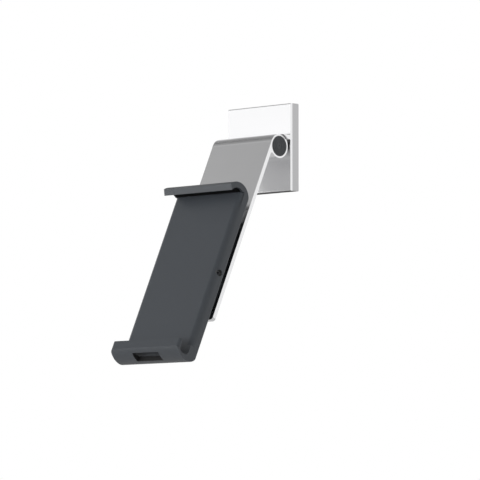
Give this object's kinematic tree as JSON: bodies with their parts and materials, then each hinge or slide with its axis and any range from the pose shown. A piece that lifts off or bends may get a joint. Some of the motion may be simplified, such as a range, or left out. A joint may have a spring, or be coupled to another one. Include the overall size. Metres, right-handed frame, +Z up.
{
  "type": "tablet wall mount",
  "caption": "Wall mount for a tablet: square wall plate, tilting aluminium arm, swivel disc and a dark spring clamp with hooked claws, a cable slot and a lock screw.",
  "frame": {"origin": "centre of the wall plate's back face, on the wall", "axes": "+X along the wall, +Y into the wall, +Z up"},
  "size_m": [0.065, 0.1179, 0.18],
  "materials": {
    "silver_anodised": "plain anodised casting",
    "satin_aluminium": "fine satin, clear anodised",
    "zinc_steel": "zinc plated",
    "soft_grey": "friction plastic",
    "cap_grey": "moulded cap, fine grain",
    "graphite_disc": "dark anodised, turned",
    "graphite_coat": "dark slate powder coat",
    "soft_pad": "soft pad",
    "spring_steel": "drawn steel",
    "brass_insert": "turned"
  },
  "bodies": {
    "wall_bracket": {"wall_base": "silver_anodised", "front_bracket": "satin_aluminium", "bracket_grubs": "zinc_steel", "hinge_pin": "zinc_steel", "hinge_washers": "zinc_steel", "retaining_rings": "zinc_steel"},
    "swing_arm": {"arm": "satin_aluminium", "friction_bushes": "soft_grey", "end_caps": "cap_grey", "swivel_base": "graphite_disc", "swivel_screws": "zinc_steel", "friction_ring": "soft_grey", "swivel_bolt": "zinc_steel", "swivel_washer": "zinc_steel", "swivel_nut": "zinc_steel"},
    "holder": {"back_cover": "graphite_coat", "cover_screws": "zinc_steel", "holder_body": "graphite_coat", "bottom_pad": "soft_pad", "spring_posts": "zinc_steel", "springs": "spring_steel", "lock_insert": "brass_insert"},
    "claw": {"top_claw": "graphite_coat", "top_pad": "soft_pad", "slide_fork": "spring_steel", "fork_screws": "zinc_steel"},
    "lock": {"lock_screw": "zinc_steel"}
  },
  "joints": [
    {"name": "arm_tilt", "type": "hinge", "parent": "wall_bracket", "child": "swing_arm", "pos_m": [0, -0.0182, 0], "axis": [-1, 0, 0], "range_deg": [-24.6, 13.4]},
    {"name": "holder_swivel", "type": "hinge", "parent": "swing_arm", "child": "holder", "pos_m": [0, -0.06274, -0.09729], "axis": [0, -0.9092, 0.4163], "continuous": true},
    {"name": "claw_slide", "type": "slide", "parent": "holder", "child": "claw", "axis": [0, 0.4163, 0.9092], "range_m": [0, 0.085], "stiffness_N_per_m": 150, "springref_m": -0.04, "deforming": ["springs"]},
    {"name": "lock_screw_turn", "type": "hinge", "parent": "holder", "child": "lock", "pos_m": [0.0265, -0.07929, -0.08971], "axis": [1, 0, 0], "range_deg": [0, 540]}
  ]
}
